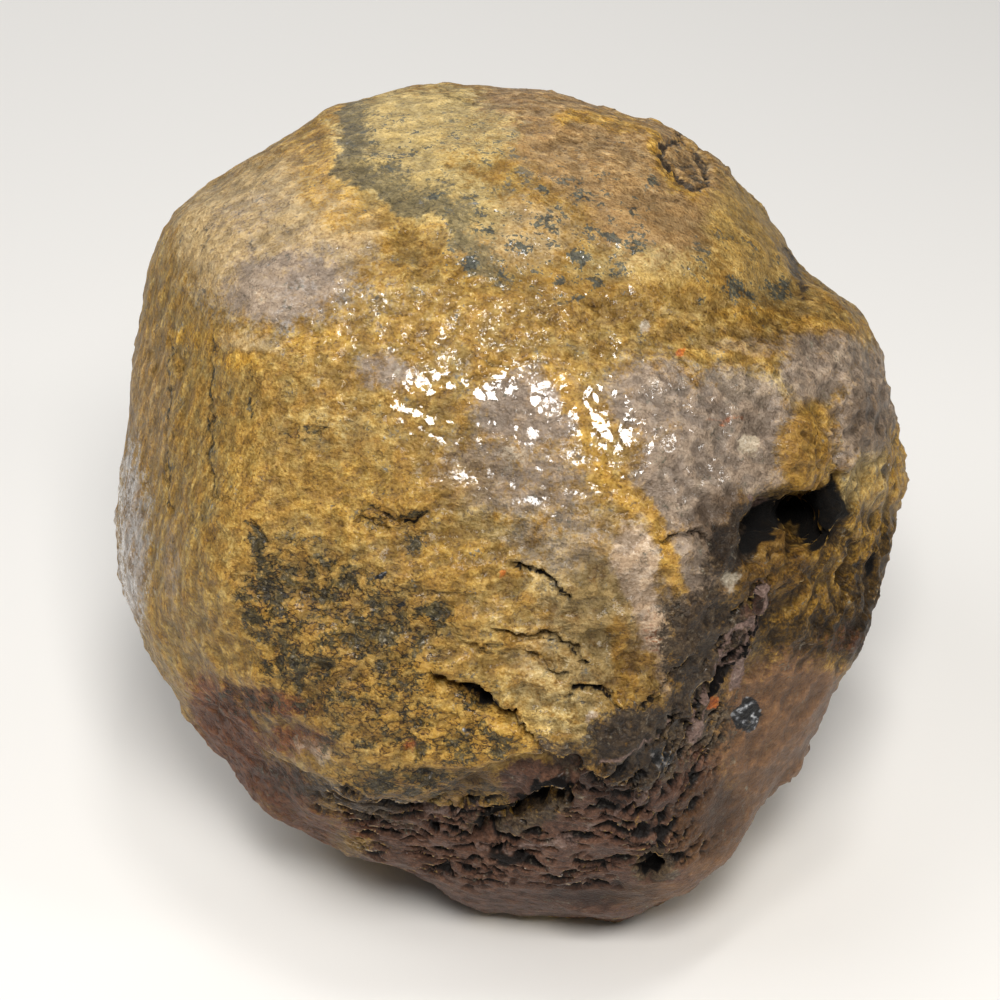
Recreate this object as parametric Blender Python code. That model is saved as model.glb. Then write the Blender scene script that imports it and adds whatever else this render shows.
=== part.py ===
"""Rough agate nodule: one solid stone with a rounded cap, a broken shoulder, a hollow and a flat spot to rest on.

Lengths are in millimetres and turned to metres where the mesh is made. The stone stands on its flat spot at z = 0.
Its best side is described as a viewer in front of it and above sees it: across to the right, up in the view,
and toward the viewer, all from the middle of the stone.
"""
import math

import bmesh
import bpy
from mathutils import Vector, noise

MM = 0.001

# Where the stone's middle is, and the direction that its best side faces
MIDDLE = Vector((0.028, 0.803, 28.4))
VIEW_ELEVATION = math.radians(35.0)
VIEW_DISTANCE = 240.0
ACROSS = Vector((1.0, 0.0, 0.0))
UP = Vector((0.0, math.sin(VIEW_ELEVATION), math.cos(VIEW_ELEVATION)))
TOWARD = Vector((0.0, -math.cos(VIEW_ELEVATION), math.sin(VIEW_ELEVATION)))

# Half the stone's depth, on the viewer's side and on the far side, and how full its rounding is
NEAR_DEPTH = 27.0
FAR_DEPTH = 25.5
FULLNESS = 2.35

# The stone's outline as the viewer sees it: (across, up), anticlockwise from the right
OUTLINE = [
    (30.2, 2.9), (29.4, 7.1), (28.0, 10.0), (27.3, 12.0), (26.5, 14.2), (24.7, 15.8), (22.5, 16.7),
    (21.1, 18.3), (20.3, 20.1), (18.0, 22.6), (14.7, 26.0), (10.9, 28.6), (8.0, 29.6), (4.2, 30.8), (1.7, 31.5),
    (-3.6, 31.5), (-5.3, 31.2), (-6.6, 31.5), (-8.9, 30.8), (-12.9, 29.5), (-13.9, 29.4), (-15.8, 27.8),
    (-18.7, 26.8), (-21.7, 24.3), (-24.9, 22.5), (-26.0, 21.0), (-27.4, 17.7), (-27.8, 14.5), (-28.2, 11.2),
    (-29.4, 3.8), (-30.1, 1.0), (-29.8, -5.2), (-28.9, -7.4), (-27.5, -9.8), (-24.9, -15.0), (-22.6, -18.8),
    (-18.5, -23.2), (-16.4, -24.8), (-14.2, -25.3), (-10.8, -27.4), (-7.2, -29.0), (-3.2, -31.0), (0.0, -31.5),
    (4.3, -31.1), (7.3, -30.6), (8.3, -31.2), (11.4, -30.4), (14.0, -29.0), (17.2, -25.3), (19.8, -21.9),
    (22.1, -19.0), (22.7, -17.2), (25.2, -13.7), (26.3, -12.1), (27.2, -9.0), (28.4, -4.6), (29.6, 0.6),
]

# Broad faces that the nodule's sides break into: (across, up, toward) of the outward direction, distance from the
# middle, and the width over which the face rounds into its neighbours
FACES = {
    "cap": ((0.05, 0.80, 0.60), 30.2, 6.0),
    "brow": ((0.02, 0.40, 1.0), 27.5, 3.0),
    "front": ((-0.12, -0.10, 1.0), 25.6, 3.0),
    "left_side": ((-1.0, 0.02, 0.52), 28.4, 2.0),
    "shoulder": ((0.62, 0.16, 0.85), 27.6, 2.5),
    "right_side": ((1.0, -0.12, 0.34), 28.6, 2.0),
    "lower_right": ((0.75, -0.55, 0.75), 27.2, 2.0),
    "underside": ((-0.12, -1.0, 0.62), 27.6, 2.0),
    "lower_left": ((-0.80, -0.70, 0.55), 28.6, 2.5),
    "back": ((0.10, 0.25, -1.0), 24.6, 3.5),
    "back_left": ((-0.85, 0.10, -0.75), 26.6, 2.5),
    "back_right": ((0.90, 0.30, -0.80), 26.0, 2.5),
    "back_top": ((-0.15, 1.0, -0.75), 27.6, 3.5),
    "back_low": ((0.35, -0.75, -0.70), 29.5, 2.5),
}

# Ledges on the viewer's side and on the far side: a depth, the reach over which the skin climbs back, and the line
# as (across, up). The skin drops on the right of somebody who walks along the line on the viewer's side.
NEAR_LEDGES = {
    "cap_rim": (1.3, 6.0, [(24.4, 15.2), (20.5, 13.9), (15.0, 13.2), (10.0, 12.2), (5.0, 11.6)]),
    "cap_left_rim": (0.5, 5.0, [(-8.0, 17.5), (-11.0, 21.5), (-13.0, 25.0), (-13.4, 30.0)]),
    "lower_lip": (1.6, 7.0, [(-24.6, -14.2), (-19.9, -18.2), (-13.8, -21.6), (-5.5, -22.6), (-3.2, -21.6),
                             (-1.5, -20.3), (3.6, -20.3), (6.7, -21.4), (10.0, -20.8)]),
    "front_step": (1.2, 4.0, [(-4.3, -13.8), (-2.4, -14.4), (-0.7, -15.4), (1.1, -16.8), (2.7, -18.2),
                              (4.9, -19.5), (6.5, -20.8)]),
    "right_ridge": (1.9, 7.0, [(10.5, -19.5), (13.1, -16.0), (15.9, -13.1), (17.1, -11.5), (18.1, -9.2),
                               (18.8, -7.4), (18.4, -5.6)]),
    "shoulder_lip": (2.4, 6.0, [(16.3, -4.9), (17.3, -3.6), (17.9, -1.4), (18.8, 0.4), (21.1, 1.0), (23.0, 0.8),
                                (24.5, 1.7), (27.6, 3.6)]),
}
FAR_LEDGES = {
    "back_step": (1.6, 7.0, [(-16.0, 9.0), (-9.0, 6.0), (-3.0, 7.5), (4.0, 3.0), (9.0, -4.0)]),
    "back_flake": (1.0, 5.0, [(17.0, 12.0), (12.5, 4.0), (14.0, -5.0), (10.0, -13.0)]),
}

# Across a ledge's line: where the drop starts and where it is complete, and how far in from its ends it is full
LEDGE_EDGE = -0.5
LEDGE_FOOT = 0.8
LEDGE_FADING = 3.0

# Hollows on the viewer's side and on the far side: (across, up), half width across and up, and depth, which is
# negative for a knob
NEAR_HOLLOWS = {
    "black_hollow": ((23.6, -1.0), (1.7, 2.5), 7.5),
    "hollow_notch": ((20.0, -1.4), (2.4, 1.6), 2.8),
    "hollow_floor": ((21.5, -5.4), (2.6, 2.0), -1.2),
    "ochre_knob": ((22.4, 4.3), (2.2, 2.6), -1.1),
    "flank_knob": ((27.2, -0.2), (1.6, 2.4), -1.2),
    "flank_pit": ((27.0, -4.7), (1.0, 1.9), 2.4),
    "low_hole": ((0.8, -23.5), (3.2, 1.3), 3.0),
    "low_nick": ((10.7, -27.5), (1.4, 1.0), 2.0),
    "cap_eye": ((13.1, 25.9), (1.6, 2.0), 1.0),
}
FAR_HOLLOWS = {
    "back_dent": ((-8.0, -6.0), (4.0, 3.0), 1.4),
    "back_pit": ((11.0, 17.0), (2.0, 1.5), 1.5),
    "back_knob": ((-13.0, 15.0), (3.5, 3.0), -1.0),
}

# How far out a hollow's floor and its brim lie, 1 being its half width
HOLLOW_FLOOR = 0.55
HOLLOW_BRIM = 1.35

# How far ledges and hollows wander off their lines, and the length of each wander
WANDER = 0.7
WANDER_LENGTH = 2.6

# Lumps over the whole skin: size, height on the smooth cap and height on the broken flanks
LUMPS = [(11.0, 0.45, 0.8), (5.0, 0.2, 0.9), (2.8, 0.05, 0.45)]

# How broken the skin is: everywhere, and on the far side
LEAST_BROKEN = 0.2
FAR_BROKEN = 0.8

# The mesh: cells along each edge of the cube that is blown up to a ball, how far they crowd to the viewer, and how
# near a ledge or a hollow's brim they are cut in four, once and then again
CELLS = 21
CROWDING = 0.13
FINER_WITHIN = (1.0, 0.3)
SHARP_ANGLE = math.radians(50.0)

# The rind's colour, and its shine where it is wet
RIND_COLOUR = (0.22, 0.127, 0.034, 1.0)
RIND_ROUGHNESS = 0.42


def smooth_step(start, end, value):
    share = min(max((value - start) / (end - start), 0.0), 1.0)
    return share * share * (3.0 - 2.0 * share)


def seen_at(offset):
    """Where the viewer sees a point that is offset from the stone's middle: (across, up), in the outline's scale."""
    nearness = VIEW_DISTANCE / (VIEW_DISTANCE - offset.dot(TOWARD))
    return offset.dot(ACROSS) * nearness, offset.dot(UP) * nearness


def outline_radius(angle):
    """Distance from the middle to the outline along an angle that is measured anticlockwise from the right."""
    corners = sorted((math.atan2(up, across), math.hypot(across, up)) for across, up in OUTLINE)
    corners = [(corners[-1][0] - math.tau, corners[-1][1]), *corners, (corners[0][0] + math.tau, corners[0][1])]
    for (start, r_start), (end, r_end) in zip(corners, corners[1:]):
        if start <= angle <= end:
            return r_start + (r_end - r_start) * (angle - start) / (end - start)
    raise ValueError(angle)


def rounded_least(a, b, width):
    """The lesser of two distances, rounded where they are within width of each other."""
    overlap = max(width - abs(a - b), 0.0) / width
    return min(a, b) - overlap * overlap * width / 4.0


def radius_of(direction):
    """Distance from the middle to the stone's skin along a unit direction, before its lumps and breaks."""
    across, up, toward = (direction.dot(axis) for axis in (ACROSS, UP, TOWARD))
    side = math.hypot(across, up)
    depth = NEAR_DEPTH if toward > 0 else FAR_DEPTH
    edge = outline_radius(math.atan2(up, across))
    radius = ((side / edge) ** FULLNESS + (abs(toward) / depth) ** FULLNESS) ** (-1.0 / FULLNESS)
    for (n_across, n_up, n_toward), distance, width in FACES.values():
        outward = (ACROSS * n_across + UP * n_up + TOWARD * n_toward).normalized()
        leaning = outward.dot(direction)
        if leaning > 0.2:
            radius = rounded_least(radius, distance / leaning, width)
    return radius


def wandered(point):
    """A seen point moved a little, so that the breaks laid out by lines run as unevenly as broken stone."""
    place = Vector((point[0], point[1], 0.0)) / WANDER_LENGTH
    return (
        point[0] + WANDER * noise.noise(place),
        point[1] + WANDER * noise.noise(place + Vector((0.0, 0.0, 7.5))),
    )


def beside_line(line, point):
    """(distance to the right of a walk along the line, way along it to the nearer end)."""
    nearest, along_at_nearest, length = math.inf, 0.0, 0.0
    for (x0, y0), (x1, y1) in zip(line, line[1:]):
        run = math.hypot(x1 - x0, y1 - y0)
        dx, dy = (x1 - x0) / run, (y1 - y0) / run
        along = min(max((point[0] - x0) * dx + (point[1] - y0) * dy, 0.0), run)
        off = math.hypot(point[0] - x0 - along * dx, point[1] - y0 - along * dy)
        if off < abs(nearest):
            nearest = math.copysign(off, (point[0] - x0) * dy - (point[1] - y0) * dx)
            along_at_nearest = length + along
        length += run
    return nearest, min(along_at_nearest, length - along_at_nearest)


def out_from(hollow, point):
    """How far out from a hollow's middle a point lies, 1 being its half width."""
    (across, up), (half_across, half_up), _ = hollow
    return math.hypot((point[0] - across) / half_across, (point[1] - up) / half_up)


def ledge_drop(ledges, point):
    drop = 0.0
    for depth, reach, line in ledges.values():
        right, from_end = beside_line(line, point)
        climbing_back = math.exp(-max(right, 0.0) / reach)
        fading = smooth_step(LEDGE_EDGE, LEDGE_FADING, from_end)
        drop += depth * fading * smooth_step(LEDGE_EDGE, LEDGE_FOOT, right) * climbing_back
    return drop


def hollow_depth(hollows, point):
    return sum(
        hollow[2] * (1.0 - smooth_step(HOLLOW_FLOOR, HOLLOW_BRIM, out_from(hollow, point)))
        for hollow in hollows.values()
    )


def brokenness_at(offset):
    """How broken the skin is, up to 1 on the right flank under the shoulder and on the underside."""
    across, up, toward = (offset.dot(axis) for axis in (ACROSS, UP, TOWARD))
    right_flank = smooth_step(16.0, 20.0, across) * (1.0 - smooth_step(6.0, 14.0, up))
    below = 1.0 - smooth_step(-22.0, -17.0, up)
    behind = FAR_BROKEN * (1.0 - smooth_step(-8.0, 0.0, toward))
    return max(right_flank, below, behind, LEAST_BROKEN)


def lumps_at(offset):
    brokenness = brokenness_at(offset)
    return sum(
        (smooth + (broken - smooth) * brokenness) * noise.noise(offset / size + Vector((size, 0.0, 0.0)))
        for size, smooth, broken in LUMPS
    )


def skin_point(direction):
    """The stone's skin along a direction from its middle, with its lumps and ledges, and with its hollows sunk
    straight away from the viewer, or towards them on the far side."""
    offset = direction * radius_of(direction)
    point = wandered(seen_at(offset))
    near = smooth_step(0.0, 9.0, offset.dot(TOWARD))
    far = smooth_step(3.0, 10.0, -offset.dot(TOWARD))
    drop = near * ledge_drop(NEAR_LEDGES, point) + far * ledge_drop(FAR_LEDGES, point)
    sinking = near * hollow_depth(NEAR_HOLLOWS, point) - far * hollow_depth(FAR_HOLLOWS, point)
    return offset + direction * (lumps_at(offset) - drop) - TOWARD * sinking


def from_a_break(direction):
    """Distance over the viewer's side from a direction to the nearest ledge or hollow's brim."""
    if direction.dot(TOWARD) < 0.0:
        return math.inf
    point = wandered(seen_at(direction * radius_of(direction)))
    to_ledges = [abs(beside_line(line, point)[0]) for _, _, line in NEAR_LEDGES.values()]
    to_brims = [abs(out_from(hollow, point) - 1.0) * min(hollow[1]) for hollow in NEAR_HOLLOWS.values()]
    return min(to_ledges + to_brims)


def ball_of_cells():
    """A cube cut into cells and blown up to a ball, its cells finer towards the viewer and beside the breaks."""
    bm = bmesh.new()
    bmesh.ops.create_cube(bm, size=2.0)
    bmesh.ops.subdivide_edges(bm, edges=bm.edges[:], cuts=CELLS - 1, use_grid_fill=True)
    for vert in bm.verts:
        across, up, toward = (math.tan(c * math.pi / 4.0) for c in vert.co)
        direction = (ACROSS * across + UP * up + TOWARD * toward).normalized()
        vert.co = (direction + TOWARD * CROWDING).normalized()
    for reach in FINER_WITHIN:
        near = [face for face in bm.faces if from_a_break(face.calc_center_median().normalized()) < reach]
        edges = list({edge for face in near for edge in face.edges})
        bmesh.ops.subdivide_edges(bm, edges=edges, cuts=1, use_grid_fill=True)
        for vert in bm.verts:
            vert.co.normalize()
    bmesh.ops.triangulate(bm, faces=bm.faces)
    return bm


def rind_material():
    rind = bpy.data.materials.new("rind")
    rind.use_nodes = True
    shader = rind.node_tree.nodes["Principled BSDF"]
    shader.inputs["Base Color"].default_value = RIND_COLOUR
    shader.inputs["Roughness"].default_value = RIND_ROUGHNESS
    shader.inputs["Metallic"].default_value = 0.0
    return rind


def build_nodule():
    bm = ball_of_cells()
    for vert in bm.verts:
        vert.co = (MIDDLE + skin_point(vert.co.normalized())) * MM
    cut = bmesh.ops.bisect_plane(
        bm, geom=[*bm.verts, *bm.edges, *bm.faces], plane_co=(0, 0, 0), plane_no=(0, 0, 1), clear_inner=True
    )
    rim = [item for item in cut["geom_cut"] if isinstance(item, bmesh.types.BMEdge)]
    bmesh.ops.contextual_create(bm, geom=rim)
    bmesh.ops.recalc_face_normals(bm, faces=bm.faces)
    mesh = bpy.data.meshes.new("nodule")
    bm.to_mesh(mesh)
    bm.free()
    mesh.shade_smooth()
    mesh.set_sharp_from_angle(angle=SHARP_ANGLE)
    mesh.materials.append(rind_material())
    bpy.context.scene.collection.objects.link(bpy.data.objects.new("nodule", mesh))


def main():
    for leftover in list(bpy.data.objects):
        bpy.data.objects.remove(leftover)
    build_nodule()


main()
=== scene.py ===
"""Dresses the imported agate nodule: a wet, ochre-brown rind with an olive cap, mauve and sooty patches,
cracks, pits and a broken right flank, on a pale floor.

Lengths in the named values are millimetres unless they say otherwise. Places on the stone's best side are
given as the camera sees them, in pixels of its 1000 x 1000 picture, right and down from the top left corner.
"""
import math

import bpy
import numpy as np
from bpy.props import FloatProperty, FloatVectorProperty, PointerProperty
from mathutils import Matrix, Vector, noise


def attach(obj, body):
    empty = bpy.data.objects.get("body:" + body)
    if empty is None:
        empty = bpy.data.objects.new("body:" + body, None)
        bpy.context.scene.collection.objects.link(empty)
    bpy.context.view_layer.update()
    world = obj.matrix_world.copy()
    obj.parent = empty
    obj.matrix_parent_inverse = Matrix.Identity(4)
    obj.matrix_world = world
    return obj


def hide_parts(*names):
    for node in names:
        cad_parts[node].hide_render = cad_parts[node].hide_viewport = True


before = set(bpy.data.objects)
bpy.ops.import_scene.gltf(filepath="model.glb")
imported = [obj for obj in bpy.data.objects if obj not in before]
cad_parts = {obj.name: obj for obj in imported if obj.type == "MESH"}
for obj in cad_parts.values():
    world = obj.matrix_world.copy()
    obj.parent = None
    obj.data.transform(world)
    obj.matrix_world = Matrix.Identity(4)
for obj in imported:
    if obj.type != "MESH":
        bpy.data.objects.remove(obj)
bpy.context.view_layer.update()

bl_info = {
    "name": "Agate Nodule",
    "version": (1, 0, 0),
    "blender": (4, 5, 0),
    "location": "View3D > Sidebar > Nodule",
    "description": "Dresses a packed agate nodule in its wet, rough rind and sets a stage round it",
    "category": "Add Mesh",
}

MM = 0.001

# The middle of the stone
MIDDLE = np.array((0.028, 0.803, 28.4))

# The camera: it looks at the stone's best side from above, from where a pixel is this wide on the stone,
# and aims 12 pixels left of the stone's middle and 3 above it
VIEW_ELEVATION = math.radians(35.0)
VIEW_DISTANCE = 240.0
PIXEL = 0.076
PICTURE = 1000
ACROSS = np.array((1.0, 0.0, 0.0))
UP = np.array((0.0, math.sin(VIEW_ELEVATION), math.cos(VIEW_ELEVATION)))
TOWARD = np.array((0.0, -math.cos(VIEW_ELEVATION), math.sin(VIEW_ELEVATION)))
AIM = MIDDLE - ACROSS * 12.0 * PIXEL + UP * 3.0 * PIXEL
SENSOR = 36.0

# The lights: place from the stone's middle, width, the power that the user sets, the share of it, and tint
LIGHTS = {
    "key": ((14.0, -208.0, 258.0), 96.0, "key", 1.0, (1.0, 0.97, 0.93)),
    "top": ((20.0, -70.0, 320.0), 50.0, "key", 0.22, (1.0, 0.98, 0.95)),
    "side": ((225.0, -145.0, 235.0), 50.0, "key", 0.14, (1.0, 0.98, 0.95)),
    "fill": ((-200.0, -60.0, 300.0), 200.0, "fill", 1.0, (1.0, 1.0, 1.0)),
    "rim": ((300.0, 60.0, 300.0), 260.0, "fill", 0.25, (1.0, 1.0, 1.0)),
    "back": ((-80.0, 300.0, 170.0), 220.0, "fill", 0.6, (1.0, 1.0, 1.0)),
}

# The floor, and the nearest thing that the camera shows
FLOOR_WIDTH = 4000.0
FLOOR_ROUGHNESS = 0.9
NEAREST = 1.0

# Points of the solid nearer than this are one point
SAME_PLACE = 0.001

# Cracks with a raised upper lip: depth, half width, height of the lip, and the line from left to right
CRACKS = {
    "front_ledge": (1.1, 0.36, 0.35, [(440, 676), (456, 685), (476, 687), (493, 699), (510, 707), (527, 724),
                                      (547, 742), (577, 759), (597, 777)]),
    "front_ledge_mouth": (1.0, 0.34, 0.10, [(458, 690), (478, 698), (497, 705), (508, 708)]),
    "upper_flake": (0.75, 0.20, 0.34, [(512, 563), (536, 566), (553, 577), (562, 586), (571, 596)]),
    "middle_flake": (0.70, 0.20, 0.36, [(498, 630), (521, 630), (545, 633), (562, 643), (577, 645),
                                        (586, 661)]),
    "right_flake": (0.60, 0.20, 0.22, [(662, 537), (685, 533), (697, 529), (709, 535)]),
    "arch": (0.45, 0.22, 0.24, [(568, 694), (577, 689), (587, 686), (597, 687), (606, 691), (614, 697),
                                (620, 704)]),
    "left_scratch": (0.45, 0.16, 0.14, [(374, 504), (392, 513), (409, 519), (430, 512)]),
    "left_scratch_low": (0.45, 0.16, 0.10, [(356, 519), (376, 523), (392, 524), (413, 521)]),
    "left_nick": (0.35, 0.14, 0.08, [(253, 526), (263, 539)]),
    "brow_line": (0.30, 0.14, 0.12, [(487, 359), (512, 361), (530, 361), (547, 364)]),
    "brow_line_low": (0.25, 0.12, 0.06, [(467, 382), (484, 373)]),
    "side_seam": (0.12, 0.14, 0.03, [(213, 340), (211, 390), (212, 440), (213, 500)]),
    "side_seam_far": (0.12, 0.14, 0.03, [(172, 340), (169, 400), (168, 450), (169, 505)]),
    "side_scratch": (0.20, 0.12, 0.03, [(215, 498), (240, 498)]),
    "low_flake": (0.45, 0.18, 0.22, [(530, 655), (548, 668), (566, 672)]),
    "lower_flake": (0.40, 0.18, 0.20, [(462, 640), (480, 646), (500, 648)]),
    "high_flake": (0.20, 0.16, 0.10, [(430, 590), (452, 596), (470, 594)]),
    "grey_flake": (0.50, 0.18, 0.22, [(640, 700), (662, 688), (684, 664), (694, 640)]),
    "cave": (2.0, 0.80, 0.15, [(480, 824), (492, 812), (508, 798), (530, 787), (562, 781)]),
    "lip_left": (0.6, 0.30, 0.25, [(347, 785), (375, 794), (403, 797), (437, 805), (462, 800)]),
}

# Ridges on the best side, and grooves, whose height is less than 0: height, half width and line
RIDGES = [
    (0.70, 1.50, [(794, 430), (808, 450), (806, 476)]),
    (-0.80, 0.45, [(818, 418), (834, 440), (840, 466), (832, 490)]),
    (-0.45, 0.30, [(708, 184), (694, 186), (675, 175), (663, 157), (664, 142), (679, 140), (697, 151),
                   (709, 169), (708, 184)]),
    (-0.25, 0.50, [(672, 152), (686, 163), (698, 176)]),
    (0.60, 1.10, [(505, 784), (530, 778), (556, 784)]),
    (0.55, 0.45, [(762, 580), (760, 601), (750, 624), (737, 654), (721, 675), (702, 693), (684, 713)]),
    (0.35, 0.35, [(455, 815), (500, 790), (545, 774), (575, 780)]),
    (0.25, 0.30, [(684, 713), (670, 740), (655, 770), (640, 800)]),
]

# Round pits on the best side: place, radius in pixels, depth
PITS = [
    ((181, 367), 6, 0.40), ((368, 408), 5, 0.30), ((428, 776), 9, 0.50), ((420, 724), 7, 0.40),
    ((414, 749), 7, 0.40), ((496, 746), 8, 0.45), ((470, 729), 6, 0.35), ((389, 704), 6, 0.30),
    ((379, 575), 6, 0.25), ((401, 603), 6, 0.25), ((411, 630), 6, 0.35), ((445, 610), 8, 0.35),
    ((418, 610), 7, 0.30), ((350, 634), 6, 0.30), ((265, 590), 9, 0.40), ((258, 622), 7, 0.35),
    ((281, 664), 8, 0.35), ((318, 668), 9, 0.35), ((322, 600), 7, 0.30), ((345, 581), 7, 0.30),
    ((800, 438), 5, 0.50), ((814, 458), 5, 0.50), ((796, 468), 4, 0.40), ((826, 440), 5, 0.40),
    ((285, 433), 5, 0.20), ((318, 431), 5, 0.20), ((870, 560), 12, 0.60), ((652, 866), 12, 1.00),
]

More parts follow.
